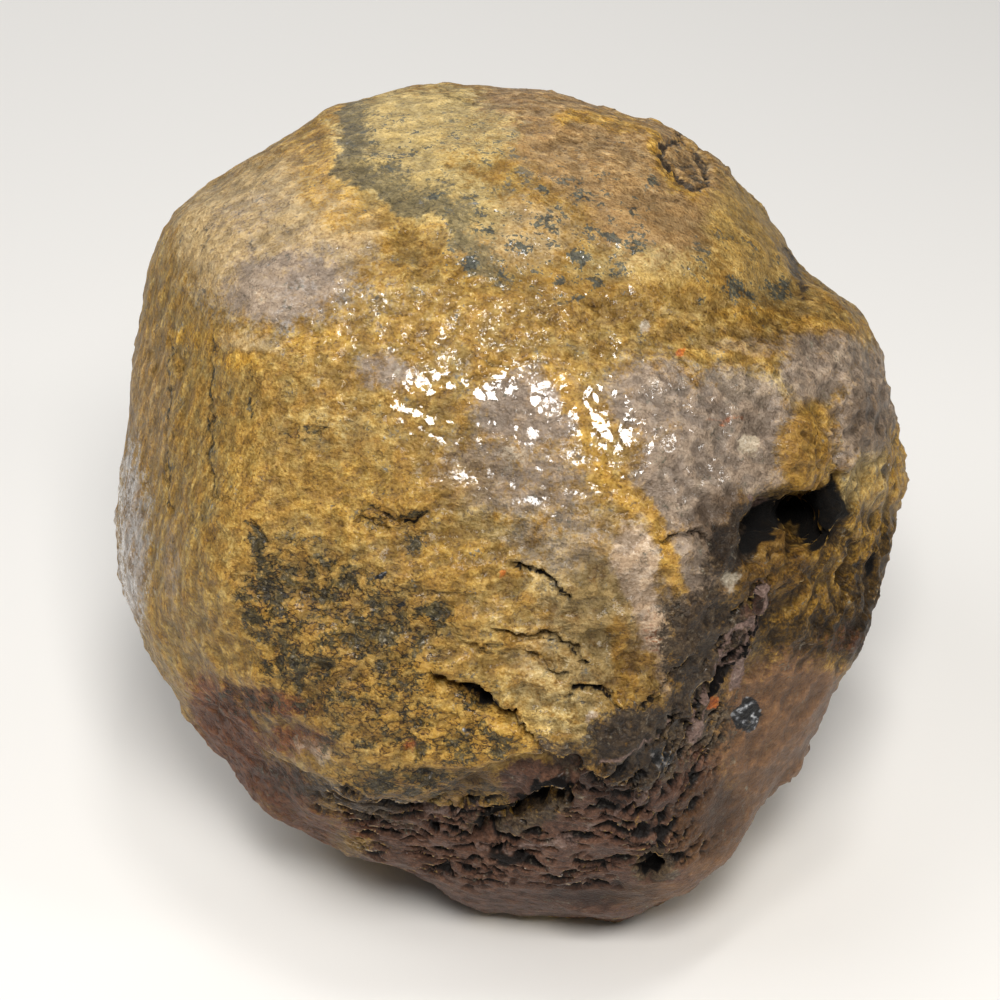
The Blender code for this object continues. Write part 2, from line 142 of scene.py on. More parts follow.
# Patches of colour and finish on the best side: place, half width across and down, tilt in degrees, strength
PATCHES = {
    "tan": [
        ((280, 235), (100, 76), -20, 1.0), ((250, 343), (40, 12), 4, 0.6), ((230, 230), (60, 50), -30, 0.9),
        ((510, 232), (80, 40), 0, 0.6), ((600, 580), (70, 80), 10, 0.56), ((560, 660), (60, 60), 0, 0.45),
    ],
    "brown": [
        ((612, 156), (124, 58), 24, 1.0), ((550, 102), (90, 24), 0, 0.9), ((650, 210), (70, 60), 30, 0.9),
        ((560, 210), (60, 40), 20, 0.35), ((150, 400), (30, 90), 0, 0.5),
    ],
    # Mauve-grey rind; the patches at (530, 412) and on the left rim at (130, 545) are partly painted sheen
    "mauve": [
        ((284, 286), (72, 38), -8, 0.8), ((290, 280), (112, 62), -10, 0.42),
        ((250, 215), (50, 24), -20, 0.42), ((530, 412), (60, 44), 0, 0.82), ((655, 400), (55, 46), 0, 0.8),
        ((735, 435), (72, 66), 20, 1.0), ((690, 480), (60, 60), 0, 0.95), ((830, 360), (55, 36), 20, 0.75),
        ((872, 400), (34, 60), 10, 0.8), ((846, 430), (24, 40), 0, 0.8), ((812, 376), (36, 28), 0, 0.85),
        ((760, 346), (60, 12), 0, 0.55), ((832, 334), (34, 16), 0, 0.6), ((700, 560), (40, 60), 10, 0.75),
        ((690, 600), (30, 70), 10, 0.6), ((858, 425), (32, 40), 20, 0.7), ((515, 478), (90, 46), 10, 0.62),
        ((560, 540), (60, 40), 0, 0.52), ((130, 545), (14, 100), 0, 0.75), ((172, 565), (9, 60), 0, 0.5),
        ((384, 372), (34, 20), 0, 0.72),
    ],
    # The underside: its dark mauve-brown, with painted shade and a painted reflection
    "underside_shade_reflection": [
        ((545, 778), (50, 18), 0, 0.95), ((450, 815), (50, 14), 0, 0.9), ((600, 806), (46, 26), 0, 1.0),
        ((540, 870), (190, 60), 0, 1.0), ((430, 830), (100, 28), 10, 0.95), ((680, 790), (40, 80), 20, 0.9),
        ((737, 636), (11, 66), 28, 0.9),
    ],
    # The lower right face: its mauve-brown, with painted shade and a painted reflection
    "lower_face_shade_reflection": [
        ((795, 745), (84, 95), -25, 1.0), ((720, 830), (50, 60), 20, 0.8), ((660, 895), (60, 16), 0, 0.7),
    ],
    "amber": [
        ((330, 190), (34, 62), -35, 0.56), ((330, 340), (46, 13), -6, 0.55), ((194, 338), (30, 12), 4, 0.85),
        ((236, 362), (20, 10), 0, 0.9), ((425, 228), (26, 18), 0, 0.4), ((640, 290), (110, 20), 0, 0.4),
        ((730, 350), (50, 14), 0, 0.4), ((752, 236), (44, 62), -28, 0.55), ((440, 320), (80, 26), -8, 0.4),
        ((560, 300), (110, 34), 0, 0.42), ((790, 320), (78, 10), 4, 0.7), ((575, 400), (36, 12), 45, 0.65),
        ((806, 448), (30, 46), 10, 1.0), ((900, 460), (14, 60), 8, 0.6), ((470, 740), (100, 40), 12, 0.62),
        ((400, 690), (60, 50), 0, 0.58), ((360, 500), (90, 50), 0, 0.45), ((450, 560), (60, 40), 0, 0.45),
        ((620, 125), (20, 10), 10, 0.55), ((672, 176), (10, 30), -44, 0.6), ((440, 480), (60, 30), 0, 0.4),
        ((245, 480), (26, 90), 0, 0.4), ((796, 575), (60, 50), 0, 0.62), ((866, 520), (20, 60), 8, 0.55),
        ((536, 812), (16, 10), -20, 0.8), ((300, 640), (80, 60), 0, 0.5),
    ],
    "olive": [
        ((862, 500), (26, 60), 10, 0.75), ((850, 350), (30, 20), 0, 0.4), ((560, 700), (60, 40), 0, 0.5),
        ((600, 740), (44, 20), 30, 0.6), ((590, 620), (44, 80), 0, 0.62), ((560, 560), (44, 40), 0, 0.5),
        ((640, 880), (60, 30), 0, 0.6), ((500, 520), (60, 30), 0, 0.45), ((330, 420), (60, 40), 0, 0.35),
        ((390, 150), (60, 60), 0, 1.0), ((440, 200), (70, 40), 20, 0.8), ((478, 132), (46, 34), 0, 0.62),
        ((755, 385), (50, 18), 0, 0.72), ((752, 240), (44, 66), -28, 0.66), ((640, 265), (80, 26), 0, 0.55),
        ((430, 110), (60, 22), -10, 0.8),
    ],
    "soot": [
        ((264, 595), (26, 46), 10, 0.70), ((282, 664), (20, 20), 0, 0.66), ((315, 668), (24, 20), 0, 0.66),
        ((320, 594), (30, 28), 0, 0.60), ((347, 580), (20, 14), 0, 0.62), ((430, 614), (26, 14), 0, 0.74),
        ((348, 634), (14, 12), 0, 0.60), ((415, 640), (12, 10), 0, 0.62), ((414, 540), (14, 18), 0, 0.52),
        ((350, 650), (100, 90), 0, 0.55), ((390, 720), (44, 40), 0, 0.55), ((300, 605), (60, 70), 0, 0.56),
        ((470, 700), (26, 16), 20, 0.6), ((370, 690), (40, 30), 0, 0.50), ((300, 432), (30, 10), 0, 0.38),
        ((250, 700), (46, 18), 10, 0.5), ((340, 745), (30, 14), 10, 0.5), ((460, 740), (60, 28), 0, 0.55),
        ((385, 520), (40, 14), 0, 0.45), ((480, 725), (16, 14), 0, 0.55), ((500, 752), (12, 10), 0, 0.55),
        ((430, 782), (90, 14), 8, 0.6), ((380, 790), (50, 14), 12, 0.6), ((255, 540), (10, 30), -20, 0.6),
    ],
    # Grime, and painted shade in the crease by the ridge and under the lips of the underside
    "grime_and_shade": [
        ((700, 640), (46, 60), 30, 0.75), ((640, 745), (56, 44), 0, 0.85), ((735, 540), (22, 50), 30, 0.85),
        ((700, 720), (40, 40), 0, 0.7), ((560, 752), (34, 18), 30, 0.6), ((520, 815), (60, 20), -12, 0.75),
        ((350, 800), (70, 14), 14, 0.7), ((655, 865), (20, 16), 0, 0.95), ((300, 790), (60, 20), 30, 0.5),
        ((690, 700), (20, 60), 30, 0.8),
    ],
    "wine": [
        ((232, 740), (30, 74), -28, 0.95), ((265, 700), (60, 16), 10, 0.75), ((300, 740), (40, 18), 12, 0.7),
        ((300, 820), (50, 26), 30, 0.7), ((280, 786), (44, 24), 30, 0.9), ((345, 825), (40, 14), 22, 0.5),
        ((840, 640), (26, 16), 0, 0.42),
    ],
    "pale": [
        ((635, 562), (23, 44), -12, 0.92), ((651, 622), (18, 48), -14, 0.82),
        ((664, 672), (12, 30), -14, 0.6), ((648, 325), (7, 9), 20, 1.0), ((749, 446), (10, 9), 0, 1.0),
        ((728, 580), (9, 10), 0, 0.9), ((262, 298), (9, 7), 0, 0.8), ((515, 455), (14, 9), 0, 0.6),
        ((316, 750), (28, 14), 20, 0.5), ((672, 735), (12, 12), 0, 0.6), ((590, 716), (6, 5), 0, 0.9),
    ],
    "quartz": [
        ((648, 325), (6, 8), 20, 1.0), ((749, 446), (10, 8), 0, 1.0), ((728, 580), (7, 9), 0, 0.9),
        ((515, 455), (13, 9), 0, 0.6), ((590, 715), (4, 4), 0, 1.0), ((262, 298), (8, 5), 0, 0.6),
        ((398, 374), (5, 5), 0, 0.7), ((320, 382), (6, 5), 0, 0.6),
    ],
    "rust": [
        ((710, 702), (9, 8), 0, 0.8), ((686, 350), (5, 5), 0, 0.8), ((504, 574), (5, 5), 0, 0.8),
        ((727, 418), (20, 5), 0, 0.5), ((412, 746), (7, 6), 0, 0.6), ((652, 640), (9, 50), -6, 0.42),
    ],
    "speckled": [
        ((540, 235), (110, 50), 10, 1.0), ((600, 225), (60, 60), 0, 0.9), ((470, 240), (40, 40), 0, 0.9),
        ((560, 285), (60, 24), 0, 0.8), ((740, 270), (60, 40), 20, 0.9), ((400, 150), (60, 40), 20, 0.8),
        ((760, 220), (30, 40), 20, 0.5), ((550, 190), (70, 20), 20, 0.6), ((480, 140), (60, 30), 20, 0.7),
    ],
    "ink": [
        ((469, 261), (8, 10), 20, 0.78), ((501, 270), (6, 7), 0, 0.72), ((482, 226), (10, 6), 10, 0.72),
        ((542, 190), (9, 6), 30, 0.72), ((583, 194), (12, 8), 20, 0.74), ((592, 229), (10, 6), 0, 0.72),
        ((606, 234), (7, 5), 20, 0.72), ((629, 212), (8, 5), 20, 0.72), ((632, 247), (9, 8), 0, 0.70),
        ((579, 256), (9, 9), 0, 0.82), ((560, 279), (7, 9), 30, 0.72), ((597, 282), (9, 7), 0, 0.72),
        ((520, 246), (16, 12), 0, 0.47), ((548, 228), (18, 10), 20, 0.56), ((618, 268), (14, 14), 0, 0.58),
        ((576, 296), (7, 5), 0, 0.8), ((655, 182), (7, 5), 30, 0.72), ((560, 170), (6, 4), 20, 0.8),
        ((438, 196), (6, 5), 0, 0.7), ((745, 296), (14, 5), 10, 0.8), ((732, 286), (12, 12), 0, 0.62),
        ((780, 291), (14, 9), 20, 0.66), ((700, 300), (9, 4), 0, 0.6), ((430, 612), (10, 7), 0, 0.9),
        ((414, 540), (8, 10), 0, 0.7), ((300, 668), (12, 8), 0, 0.7),
    ],
    "film": [
        ((450, 405), (66, 40), 8, 0.85), ((132, 540), (24, 110), 0, 0.5), ((512, 405), (40, 50), 0, 0.8),
        ((612, 400), (46, 52), 20, 0.9), ((700, 450), (40, 50), 20, 0.55), ((540, 340), (180, 76), 0, 0.40),
        ((550, 250), (150, 80), 0, 0.36), ((690, 430), (44, 60), 20, 0.7), ((540, 480), (120, 40), 0, 0.42),
        ((340, 310), (100, 70), 0, 0.36),
    ],
    # Painted shade: the black hollow, the shadow under the notch's lip, pits, a hole of the web and ledge
    # mouths
    "deep_shade": [
        ((508, 858), (30, 9), 6, 0.62), ((430, 862), (18, 6), 6, 0.5), ((820, 515), (25, 34), 10, 1.0),
        ((763, 523), (17, 30), 35, 1.0), ((790, 507), (20, 11), 0, 1.0), ((868, 565), (8, 16), 15, 0.8),
        ((652, 865), (13, 10), -30, 1.0), ((486, 700), (20, 6), 14, 1.0),
    ],
    # Dark crystals, with painted glints on their facets
    "crystal": [
        ((748, 716), (15, 16), 0, 1.0), ((379, 575), (5, 5), 0, 0.8), ((401, 603), (5, 5), 0, 0.8),
        ((470, 728), (9, 6), 0, 0.6), ((660, 758), (14, 10), 0, 0.7), ((620, 765), (10, 8), 0, 0.6),
        ((338, 612), (6, 6), 0, 0.6), ((428, 776), (8, 8), 0, 0.5),
    ],
    "crust": [
        ((850, 580), (60, 80), 10, 1.0), ((800, 600), (60, 66), 0, 1.0), ((806, 500), (40, 24), 0, 0.9),
        ((890, 470), (14, 60), 0, 0.5), ((730, 600), (26, 40), 30, 0.4), ((690, 850), (40, 24), 0, 0.45),
    ],
    "flaky": [
        ((520, 640), (120, 120), 0, 1.0), ((600, 720), (60, 50), 0, 0.8), ((330, 620), (110, 80), 0, 0.6),
        ((480, 740), (110, 40), 0, 0.7), ((680, 600), (60, 90), 20, 0.7), ((400, 520), (60, 40), 0, 0.5),
    ],
    # Painted shade that darkens the tone: on the flank, the underside and the crease, and in places on the
    # front and cap
    "dim_shade": [
        ((806, 450), (34, 50), 10, 0.62), ((790, 320), (80, 36), 0, 0.5), ((740, 440), (60, 60), 0, 0.35),
        ((700, 640), (60, 100), 30, 0.6), ((300, 810), (90, 50), 30, 0.6), ((640, 620), (40, 90), 0, 0.6),
        ((430, 790), (90, 14), 8, 0.5), ((330, 700), (60, 60), 0, 0.4), ((545, 688), (54, 26), 20, 0.35),
        ((724, 525), (34, 40), 20, 0.9), ((768, 566), (48, 50), 0, 1.0), ((862, 644), (22, 26), 0, 1.0),
        ((704, 815), (40, 46), 20, 0.75), ((470, 520), (110, 100), 0, 0.36), ((606, 628), (66, 96), 0, 0.72),
        ((866, 420), (24, 40), 0, 0.6), ((600, 892), (70, 16), 0, 0.7), ((480, 782), (24, 14), 0, 0.8),
        ((700, 225), (90, 80), 30, 0.40), ((764, 250), (40, 60), -28, 0.44), ((590, 300), (110, 26), 0, 0.45),
        ((640, 480), (60, 60), 0, 0.3), ((820, 590), (70, 70), 0, 0.55), ((868, 480), (24, 50), 0, 0.4),
        ((662, 700), (24, 40), 0, 0.7), ((620, 760), (60, 50), 30, 0.8), ((400, 790), (60, 30), 0, 0.5),
        ((240, 740), (50, 60), -20, 0.5), ((360, 650), (100, 90), 0, 0.25),
    ],
    "lace": [
        ((530, 838), (176, 48), 0, 1.0), ((600, 808), (40, 20), 0, 0.9), ((400, 818), (90, 20), 12, 0.9),
        ((470, 806), (30, 18), -20, 0.6),
    ],
    "net": [
        ((676, 772), (36, 86), 24, 1.0), ((735, 640), (16, 70), 28, 0.9), ((640, 800), (60, 40), 30, 0.7),
    ],
    "rough": [
        ((820, 520), (110, 130), 0, 1.0), ((850, 390), (44, 60), 0, 1.0), ((700, 690), (70, 80), 30, 0.9),
        ((640, 580), (70, 110), 0, 0.5), ((430, 660), (190, 130), 10, 0.5), ((520, 840), (190, 70), 0, 0.5),
        ((260, 740), (80, 80), 0, 0.5), ((740, 420), (80, 90), 0, 0.85), ((500, 760), (110, 40), 0, 0.6),
    ],
    "lumpy": [
        ((840, 580), (80, 80), 0, 1.0), ((806, 450), (26, 34), 0, 0.8), ((862, 430), (44, 80), 0, 0.7),
        ((780, 600), (60, 60), 0, 0.8),
    ],
    "striped": [((165, 430), (56, 190), 0, 1.0), ((240, 430), (50, 110), 0, 0.55)],
    "worn": [
        ((690, 330), (130, 34), -3, 1.0), ((620, 345), (50, 30), 0, 1.0), ((795, 760), (80, 90), -25, 1.0),
        ((524, 812), (60, 34), 0, 1.0), ((128, 540), (24, 110), 0, 0.7),
    ],
}

# Thin lines of colour on the best side: half width in pixels, strength, and the line
STREAKS = {
    "amber": [
        (6, 0.55, [(165, 345), (195, 338), (225, 362), (262, 366)]),
        (6, 0.65, [(290, 342), (330, 334), (380, 338), (434, 346)]),
        (8, 1.0, [(552, 372), (570, 400), (590, 440), (606, 480), (640, 500)]),
        (7, 1.0, [(590, 480), (620, 500), (650, 508), (662, 540), (670, 570), (680, 592)]),
        (8, 1.0, [(616, 620), (620, 650), (628, 680), (622, 702)]),
        (7, 0.7, [(717, 316), (760, 322), (810, 318), (864, 330)]),
        (8, 0.7, [(560, 119), (600, 118), (629, 122), (655, 134)]),
        (6, 0.8, [(652, 143), (664, 168), (684, 188), (706, 192)]),
        (12, 0.5, [(326, 150), (326, 182), (350, 204), (382, 206), (400, 232), (436, 232), (446, 262),
                   (470, 290)]),
    ],
    "thread": [
        (3.5, 1.0, [(762, 580), (760, 601), (750, 624), (737, 654), (721, 675), (702, 693), (684, 713)]),
        (2.5, 0.8, [(757, 604), (738, 630), (722, 650), (716, 672)]),
        (2.5, 0.8, [(740, 648), (742, 668), (730, 690)]),
        (2.5, 0.7, [(705, 690), (700, 720), (690, 745)]),
        (2.5, 0.9, [(745, 497), (765, 503), (790, 503), (812, 506)]),
        (3, 0.7, [(600, 760), (640, 748), (672, 722)]),
        (2.5, 0.7, [(380, 800), (440, 812), (480, 806)]),
        (2.5, 0.6, [(560, 840), (610, 822), (650, 790)]),
        (2.5, 0.6, [(430, 842), (500, 850), (580, 842)]),
    ],
    # Painted shadows under the lips of the cracks, beside the ridge and in the cave
    "deep_shade": [
        (1.8, 0.70, [(514, 566), (538, 569), (555, 581), (572, 599)]),
        (1.8, 0.66, [(500, 633), (523, 633), (547, 637), (564, 647), (588, 664)]),
        (3.0, 0.78, [(574, 692), (587, 689), (597, 690), (606, 694), (614, 700), (619, 706)]),
        (4.0, 0.9, [(462, 692), (480, 697), (498, 706), (510, 712)]),
        (2.5, 0.8, [(510, 711), (527, 727), (547, 745), (577, 762), (597, 780)]),
        (2.0, 0.7, [(376, 507), (394, 516), (411, 522), (430, 515)]),
        (2.0, 0.6, [(642, 703), (664, 691), (686, 667)]),
        (3.0, 0.7, [(756, 612), (744, 640), (728, 668), (706, 700)]),
        (12, 1.0, [(488, 822), (500, 808), (516, 797), (536, 789), (562, 785)]),
    ],
    "grime_and_shade": [
        (3.5, 0.95, [(694, 186), (675, 175), (663, 157), (664, 142), (679, 140)]),
        (2.5, 0.70, [(679, 140), (697, 151), (709, 169), (708, 184), (694, 186)]),
        (7, 0.46, [(676, 154), (700, 178)]),
        (6, 0.6, [(780, 250), (800, 280), (806, 300)]),
    ],
    "soot": [
        (2, 0.62, [(213, 340), (211, 400), (213, 500)]),
        (2, 0.55, [(172, 340), (168, 420), (169, 505)]),
        (2, 0.6, [(250, 372), (249, 418)]),
        (2, 0.6, [(285, 436), (305, 431), (326, 429)]),
        (4, 0.9, [(245, 522), (256, 536), (262, 560), (268, 590)]),
        (3, 0.8, [(372, 506), (395, 516), (430, 514)]),
    ],
}

# The olive patch on the cap, from its top left corner down, and the ragged left edge with its grey band
OLIVE_CAP = [(338, 108), (341, 153), (333, 172), (361, 192), (381, 192), (398, 217), (409, 221), (431, 213),
             (448, 223), (445, 245), (465, 254), (470, 275), (520, 300), (580, 305), (640, 300), (700, 306),
             (790, 300), (810, 283), (790, 230), (770, 190), (720, 180), (680, 200), (620, 190), (560, 150),
             (500, 110), (440, 92), (380, 90)]
OLIVE_EDGE = OLIVE_CAP[:12]

# The width of the cap's border, how far right of the edge the middle of the grey band is, how far from there
# it begins to fade and where it ends, in pixels, and how grey it is
CAP_BORDER = 40.0
BAND_SHIFT = 6.0
BAND_FADE = (4.0, 50.0)
BAND_STRENGTH = 0.95

# Patches on the sides that the camera doesn't see: their size, how much of the skin they cover, and the place
# in the noise that they are read from
FAR_PATCHES = {
    "tan": (12.0, 0.32, 12.0), "brown": (14.0, 0.22, 17.0), "olive": (10.0, 0.18, 45.0),
    "mauve": (12.0, 0.17, 23.0), "crust": (9.0, 0.05, 15.0), "amber": (6.0, 0.22, 34.0),
    "underside_shade_reflection": (9.0, 0.04, 19.0), "lower_face_shade_reflection": (9.0, 0.06, 21.0), "wine": (8.0, 0.02, 78.0),
    "pale": (4.0, 0.03, 89.0), "soot": (6.0, 0.05, 56.0), "grime_and_shade": (6.0, 0.025, 67.0),
    "ink": (1.6, 0.003, 29.0), "rust": (2.0, 0.003, 91.0), "quartz": (1.6, 0.004, 27.0),
    "crystal": (1.6, 0.004, 13.0), "deep_shade": (3.0, 0.003, 93.0), "film": (9.0, 0.25, 95.0),
    "striped": (9.0, 0.12, 97.0), "speckled": (8.0, 0.12, 99.0), "dim_shade": (12.0, 0.10, 105.0),
    "thread": (2.0, 0.004, 25.0),
}

# The relief: how wide its bumps are and how high they stand, and where there is a third number, what it adds
# to the height where the rind is rough, or flaky
SWELLS = (3.4, 0.14)
CRUMBS = (1.4, 0.06, 0.14)
BROKEN_FACES = (1.5, 0.02, 0.18)
FLAKES = (3.0, 0.05, 0.22)
LUMPS = (2.4, 1.1)
LUMP_FACES = (2.2, 0.24)
STRIPES = (0.9, 0.16)
WEB_DEPTH = 0.90

# How rough even the smoothest rind outside the web is, and how rough, flaky and lumpy the sides are that the
# camera doesn't see, as a share of the roughest places; their lumps stand in patches of about the last width
LEAST_ROUGH = 0.12
FAR_ROUGH = 0.5
FAR_LUMPY = 0.7
FAR_LUMPS_WIDTH = 9.0

# A crack: where its upper lip breaks off and how far the lip's rise spreads, from the crack's line, and where
# it is deepest, in half widths below the line
CRACK_EDGE = (-0.09, 0.05)
LIP_SPREAD = 0.9
CRACK_MIDDLE = 0.6

# Where the side of a pit begins and ends, from its middle, in radii
PIT_SIDE = (0.35, 1.2)

# The web's holes run in two layers that cross: the tilt of each in degrees, and how many of its holes fit in
# a millimetre along it, beside it and into the stone
LACE_LAYERS = ((-14.0, (0.17, 0.85, 0.5)), (6.0, (0.20, 0.95, 0.5)))
NET_LAYERS = ((64.0, (0.17, 0.95, 0.5)), (46.0, (0.20, 1.0, 0.5)))

# The bends of the web's strands: how wide they are and how far they move a strand; and about how wide the
# places are where its holes are filled in
WEB_BENDS = (2.2, 0.8)
WEB_FILLED_WIDTH = 3.2

# How far lines and borders wander, in pixels, and the width of the wandering in millimetres
WANDER = 7.0
WANDER_WIDTH = 1.3

# How near a crack or a ridge the mesh is cut finer, in pixels
BREAK_REACH = 9.0

# How many times the worn places are smoothed
WORN_ROUNDS = 60

# Small and wide hollows: the rounds of smoothing each is measured against, and the depth that counts as 1
HOLLOWS = ((2, 0.10), (16, 0.5))

# Turns the middle of a facet into three numbers that look random, for the way it leans
LEANS = np.array(((64.5, 391.0, 188.5), (196.5, 55.5, 415.5), (366.0, 261.0, 45.5)))

# How far a facet may stand out or in, as a share of its size
FACET_REACH = 0.32


def soft_step(value, low, high):
    """0 below low and 1 above high, rising smoothly between them."""
    t = np.clip((value - low) / (high - low), 0.0, 1.0)
    return t * t * (3.0 - 2.0 * t)


def ripple(points, size, octaves, shift):
    """Smooth noise of about -1 to 1 at each point, with bumps of about a size; shift picks the noise."""
    return np.array([noise.fractal(Vector(p), 1.0, 2.0, octaves) for p in points / size + shift])


def facets(points, size, shift):
    """How far each point stands out on planes of about a size that lean at random, as on a broken face."""
    places = points / size + ripple(points, size, 2, shift)[:, None] * 0.2 + shift
    middles = np.array([noise.voronoi(Vector(p))[1][0] for p in places])
    standing = ((places - middles) * np.sin(middles @ LEANS)).sum(axis=1)
    return np.clip(standing, -FACET_REACH, FACET_REACH) * size


def on_picture(points):
    """Where the camera sees each point, in pixels right and down."""
    offset = points - AIM
    scale = VIEW_DISTANCE / (VIEW_DISTANCE - offset @ TOWARD) / PIXEL
    return np.stack((PICTURE / 2 + offset @ ACROSS * scale, PICTURE / 2 - offset @ UP * scale), axis=1)


def beside_line(spots, line):
    """Each spot's distance in pixels from a line, less than 0 above it, for a line that runs to the right."""
    best = np.full(len(spots), np.inf)
    side = np.ones(len(spots))
    for start, end in zip(line, line[1:]):
        start = np.array(start, float)
        step = np.array(end, float) - start
        along = np.clip(((spots - start) @ step) / (step @ step), 0.0, 1.0)
        away = spots - start - along[:, None] * step
        distance = np.hypot(away[:, 0], away[:, 1])
        turn = step[0] * away[:, 1] - step[1] * away[:, 0]
        side = np.where(distance < best, np.sign(turn), side)
        best = np.minimum(best, distance)
    return best * np.where(side == 0.0, 1.0, side)


def inside_ring(spots, ring):
    """Each spot's distance in pixels inside a closed ring, less than 0 outside it."""
    edge = np.abs(beside_line(spots, ring + ring[:1]))
    inside = np.zeros(len(spots), bool)
    for (ax, ay), (bx, by) in zip(ring, ring[1:] + ring[:1]):
        spans = (ay > spots[:, 1]) != (by > spots[:, 1])
        reach = ax + (spots[:, 1] - ay) * (bx - ax) / (by - ay if by != ay else 1.0)
        inside ^= spans & (spots[:, 0] < reach)
    return np.where(inside, edge, -edge)


def patch_cover(spots, patches, reach=0.5):
    """How far inside the nearest patch each spot is: its strength in the middle, half that on the border."""
    cover = np.zeros(len(spots))
    for (x, y), (half_x, half_y), tilt, strength in patches:
        turn = math.radians(tilt)
        right, down = spots[:, 0] - x, spots[:, 1] - y
        u = (right * math.cos(turn) + down * math.sin(turn)) / half_x
        v = (down * math.cos(turn) - right * math.sin(turn)) / half_y
        cover = np.maximum(cover, strength * (1.0 - soft_step(np.hypot(u, v), 1.0 - reach, 1.0 + reach)))
    return cover


def streak_cover(spots, streaks):
    """How near the middle of the nearest streak each spot is."""
    cover = np.zeros(len(spots))
    for half_width, strength, line in streaks:
        distance = np.abs(beside_line(spots, line))
        cover = np.maximum(cover, strength * (1.0 - soft_step(distance, half_width * 0.4, half_width * 1.6)))
    return cover


def neighbour_mean(values, edges, count):
    """The mean of each vertex's neighbours."""
    total = np.zeros_like(values)
    for a, b in ((0, 1), (1, 0)):
        for axis in range(values.shape[1]):
            total[:, axis] += np.bincount(edges[:, a], values[edges[:, b], axis], len(values))
    return total / count[:, None]


def smoothed(points, edges, rounds):
    """The vertices after some rounds of moving each to the mean of its neighbours."""
    count = np.bincount(edges.ravel(), minlength=len(points)).astype(float)
    for _ in range(rounds):
        points = neighbour_mean(points, edges, count)
    return points


def mesh_points(mesh):
    """The mesh's vertices in millimetres, and the outward direction at each."""
    points = np.empty(len(mesh.vertices) * 3)
    mesh.vertices.foreach_get("co", points)
    outward = np.empty(len(mesh.vertices) * 3)
    mesh.vertex_normals.foreach_get("vector", outward)
    return points.reshape(-1, 3) / MM, outward.reshape(-1, 3)


def mesh_edges(mesh):
    """The two vertices of each edge of the mesh."""
    edges = np.empty(len(mesh.edges) * 2, int)
    mesh.edges.foreach_get("vertices", edges)
    return edges.reshape(-1, 2)


def solid_skin(name, cell):
    """A copy of the solid's skin, smoothed and cut into even cells."""
    bpy.ops.object.select_all(action="DESELECT")
    stone = bpy.data.objects.new(name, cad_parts["nodule"].data.copy())
    stone.data.name = name
    bpy.context.scene.collection.objects.link(stone)
    bpy.context.view_layer.objects.active = stone
    stone.select_set(True)
    bpy.ops.object.mode_set(mode="EDIT")
    bpy.ops.mesh.select_all(action="SELECT")
    bpy.ops.mesh.remove_doubles(threshold=SAME_PLACE * MM)
    bpy.ops.mesh.tris_convert_to_quads()
    bpy.ops.object.mode_set(mode="OBJECT")
    smoothing = stone.modifiers.new("smoothing", "SUBSURF")
    smoothing.levels = smoothing.render_levels = 1
    bpy.ops.object.modifier_apply(modifier=smoothing.name)
    cells = stone.modifiers.new("even cells", "REMESH")
    cells.mode = "VOXEL"
    cells.voxel_size = cell * MM
    cells.use_smooth_shade = True
    bpy.ops.object.modifier_apply(modifier=cells.name)
    return stone


def wandering(points, spots):
    """The spots shifted a little by noise, so that lines and borders read off them are ragged."""
    shift = np.stack([ripple(points, WANDER_WIDTH, 3, 7.1), ripple(points, WANDER_WIDTH, 3, 31.7)], axis=1)
    return spots + shift * WANDER


def refine_breaks(stone):
    """Cuts the cells beside cracks and ridges, and those of the web underneath, into smaller ones."""
    points, outward = mesh_points(stone.data)
    spots = wandering(points, on_picture(points))
    near = np.full(len(points), np.inf)
    for line in [crack[-1] for crack in CRACKS.values()] + [ridge[-1] for ridge in RIDGES]:
        near = np.minimum(near, np.abs(beside_line(spots, line)))
    near[patch_cover(spots, PATCHES["lace"] + PATCHES["net"]) > 0.5] = 0.0
    near[outward @ TOWARD < 0.1] = np.inf
    chosen = near < BREAK_REACH
    mesh = stone.data
    mesh.vertices.foreach_set("select", np.zeros(len(points), bool))
    mesh.edges.foreach_set("select", np.zeros(len(mesh.edges), bool))
    faces = [all(chosen[i] for i in face.vertices) for face in mesh.polygons]
    mesh.polygons.foreach_set("select", faces)
    bpy.ops.object.mode_set(mode="EDIT")
    bpy.ops.mesh.select_mode(type="FACE")
    bpy.ops.mesh.subdivide(number_cuts=1)
    bpy.ops.object.mode_set(mode="OBJECT")


def facing(outward):
    """1 where the camera sees the skin well, falling to 0 where it turns away."""
    return soft_step(outward @ TOWARD, -0.05, 0.2)


def far_patches(points, size, share, shift):
    """Noise patches for the sides that the camera doesn't see: above a half over about the given share."""
    value = ripple(points, size, 3, shift)
    return np.clip(0.5 + (value - np.quantile(value, 1.0 - share)) * 2.0, 0.0, 1.0)


def view_axes(tilt):
    """The ways along and beside a line across the picture, tilted by some degrees, and towards the camera."""
    turn = math.radians(tilt)
    along = ACROSS * math.cos(turn) + UP * math.sin(turn)
    beside = UP * math.cos(turn) - ACROSS * math.sin(turn)
    return along, beside, TOWARD


def web_holes(points, cover, tilt, stretch):
    """How deep each point lies in the long holes of one layer of a web that covers part of the skin."""
    holes = np.zeros(len(points))
    inside = cover > 0.1
    points = points[inside]
    width, reach = WEB_BENDS
    warp = np.stack([ripple(points, width, 2, shift) for shift in (41.0, 43.0, 47.0)], axis=1)
    places = (points + warp * reach) @ np.stack(view_axes(tilt)).T * stretch + 40.0
    cells = np.array([noise.voronoi(Vector(p))[0][:2] for p in places])
    open_cells = soft_step(ripple(points, WEB_FILLED_WIDTH, 2, 51.0), -0.48, -0.18)
    hollow_cells = soft_step(cells[:, 1] - cells[:, 0], 0.06, 0.22)
    holes[inside] = hollow_cells * open_cells * soft_step(cover[inside], 0.3, 0.6)
    return holes


